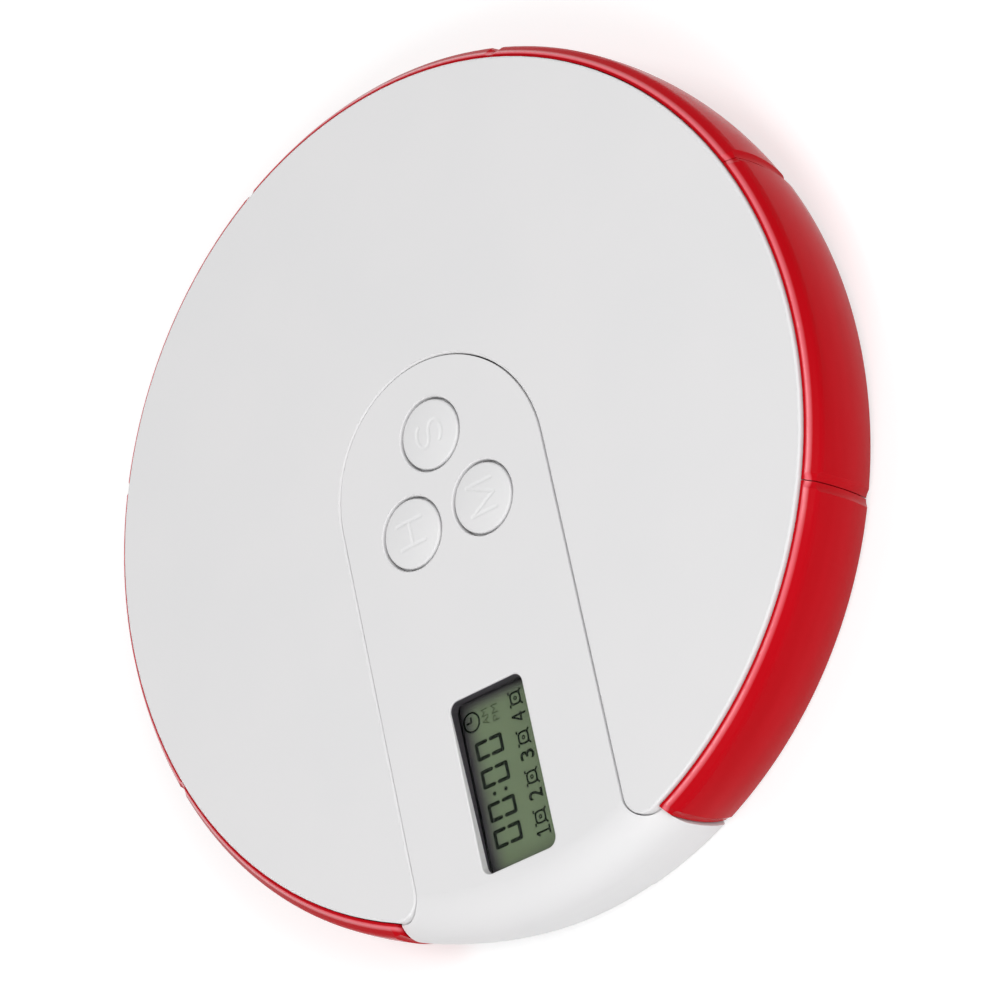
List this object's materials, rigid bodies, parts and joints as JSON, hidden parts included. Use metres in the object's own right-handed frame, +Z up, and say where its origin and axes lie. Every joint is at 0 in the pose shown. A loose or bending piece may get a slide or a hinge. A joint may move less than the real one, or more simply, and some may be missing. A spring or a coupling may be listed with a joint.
{
  "type": "pill dispenser",
  "caption": "Round weekly pill dispenser: a flat white disc with an alarm timer, keys and a display, ringed by red wedge drawers that slide out of the rim.",
  "frame": {"origin": "centre of the disc, on the plane that the rubber feet rest on", "axes": "+Z up out of the cover, with the timer's display towards the rim at -Y"},
  "size_m": [0.1556, 0.1554, 0.0203],
  "materials": {
    "white_shell": "fine satin moulded ABS",
    "white_key": "satin moulded ABS",
    "red_drawer": "glossy moulded plastic",
    "foot_rubber": "matt",
    "screw_steel": "zinc plated",
    "contact_steel": "nickel plated",
    "black_plastic": "matt",
    "clear_lens": "clear polished acrylic",
    "lcd_glass": "grey-green liquid crystal glass",
    "board_green": "solder mask",
    "cell_jacket": "plain printed jacket"
  },
  "bodies": {
    "body": {"base": "white_shell", "rubber_feet": "foot_rubber", "top_cover": "white_shell", "cover_screws": "screw_steel", "timer_housing": "white_shell", "housing_screws": "screw_steel", "key_switches": "black_plastic", "lcd_window": "clear_lens", "lcd_frame": "black_plastic", "lcd_panel": "lcd_glass", "zebra_strips": "foot_rubber", "circuit_board": "board_green", "board_screws": "screw_steel", "controller_chip": "black_plastic", "timing_crystal": "screw_steel", "buzzer": "black_plastic", "battery_1": "cell_jacket", "battery_2": "cell_jacket", "battery_springs": "contact_steel", "contact_plates": "contact_steel"},
    "drawer_1": {"drawer_1": "red_drawer"},
    "drawer_2": {"drawer_2": "red_drawer"},
    "drawer_3": {"drawer_3": "red_drawer"},
    "drawer_4": {"drawer_4": "red_drawer"},
    "drawer_5": {"drawer_5": "red_drawer"},
    "drawer_6": {"drawer_6": "red_drawer"},
    "drawer_7": {"drawer_7": "red_drawer"},
    "set_key": {"set_key": "white_key", "set_plunger": "black_plastic"},
    "hour_key": {"hour_key": "white_key", "hour_plunger": "black_plastic"},
    "minute_key": {"minute_key": "white_key", "minute_plunger": "black_plastic"},
    "battery_door": {"battery_door": "white_shell"}
  },
  "joints": [
    {"name": "drawer_1_slide", "type": "slide", "parent": "body", "child": "drawer_1", "axis": [0.7071, -0.7071, 0], "range_m": [0, 0.028]},
    {"name": "drawer_2_slide", "type": "slide", "parent": "body", "child": "drawer_2", "axis": [1, 0, 0], "range_m": [0, 0.034]},
    {"name": "drawer_3_slide", "type": "slide", "parent": "body", "child": "drawer_3", "axis": [0.7071, 0.7071, 0], "range_m": [0, 0.034]},
    {"name": "drawer_4_slide", "type": "slide", "parent": "body", "child": "drawer_4", "axis": [0, 1, 0], "range_m": [0, 0.034]},
    {"name": "drawer_5_slide", "type": "slide", "parent": "body", "child": "drawer_5", "axis": [-0.7071, 0.7071, 0], "range_m": [0, 0.034]},
    {"name": "drawer_6_slide", "type": "slide", "parent": "body", "child": "drawer_6", "axis": [-1, 0, 0], "range_m": [0, 0.034]},
    {"name": "drawer_7_slide", "type": "slide", "parent": "body", "child": "drawer_7", "axis": [-0.7071, -0.7071, 0], "range_m": [0, 0.028]},
    {"name": "set_key_press", "type": "slide", "parent": "body", "child": "set_key", "axis": [0, 0, -1], "range_m": [0, 0.0005], "stiffness_N_per_m": 1500, "springref_m": -0.0003},
    {"name": "hour_key_press", "type": "slide", "parent": "body", "child": "hour_key", "axis": [0, 0, -1], "range_m": [0, 0.0005], "stiffness_N_per_m": 1500, "springref_m": -0.0003},
    {"name": "minute_key_press", "type": "slide", "parent": "body", "child": "minute_key", "axis": [0, 0, -1], "range_m": [0, 0.0005], "stiffness_N_per_m": 1500, "springref_m": -0.0003},
    {"name": "battery_door_slide", "type": "slide", "parent": "body", "child": "battery_door", "axis": [0, -1, 0], "range_m": [0, 0.05]}
  ]
}
